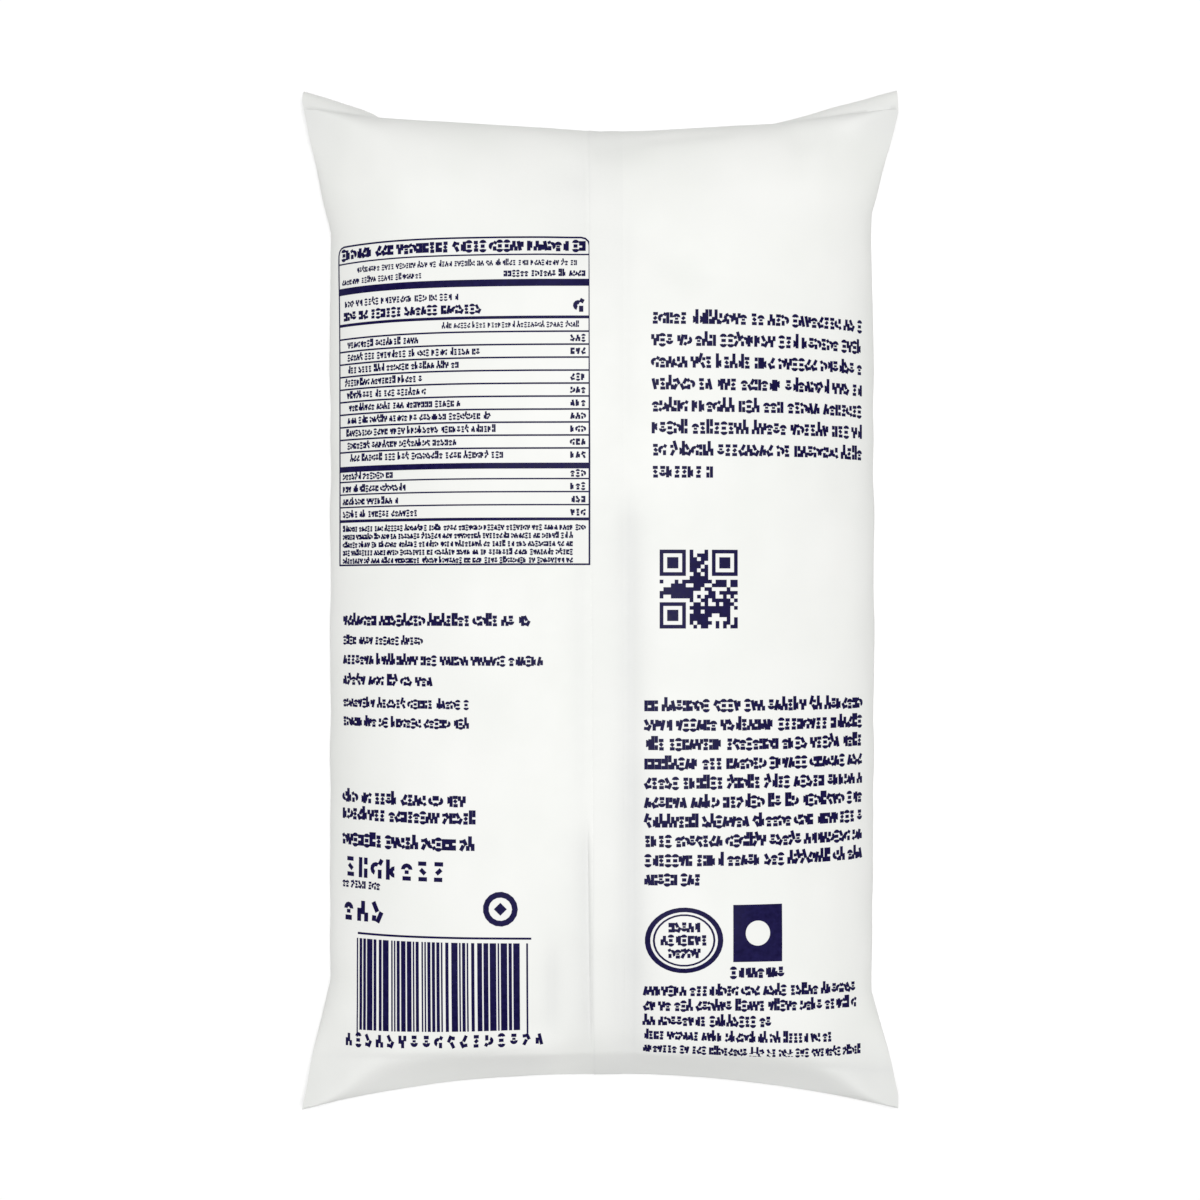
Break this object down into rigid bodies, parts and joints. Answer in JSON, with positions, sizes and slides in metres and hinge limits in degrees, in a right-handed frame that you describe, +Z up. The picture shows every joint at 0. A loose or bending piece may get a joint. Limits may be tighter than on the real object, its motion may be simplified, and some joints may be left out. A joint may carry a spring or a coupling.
{
  "type": "bag of salt",
  "caption": "Shut pillow pack of thin white plastic film filled with salt, lying flat, with a lengthwise seam flap, folded end seals and four pointed ears.",
  "frame": {"origin": "on the resting plane, under the middle of the pack's bounding box", "axes": "+Y along the pack to its top end, +X to the right of the back panel, +Z up out of the back panel"},
  "size_m": [0.1456, 0.2504, 0.0336],
  "materials": {
    "film": "satin white polyethylene film, slightly translucent, over fine salt",
    "ink": "flat navy print on the film"
  },
  "bodies": {
    "root": {"salt_bag": "film"}
  },
  "joints": []
}
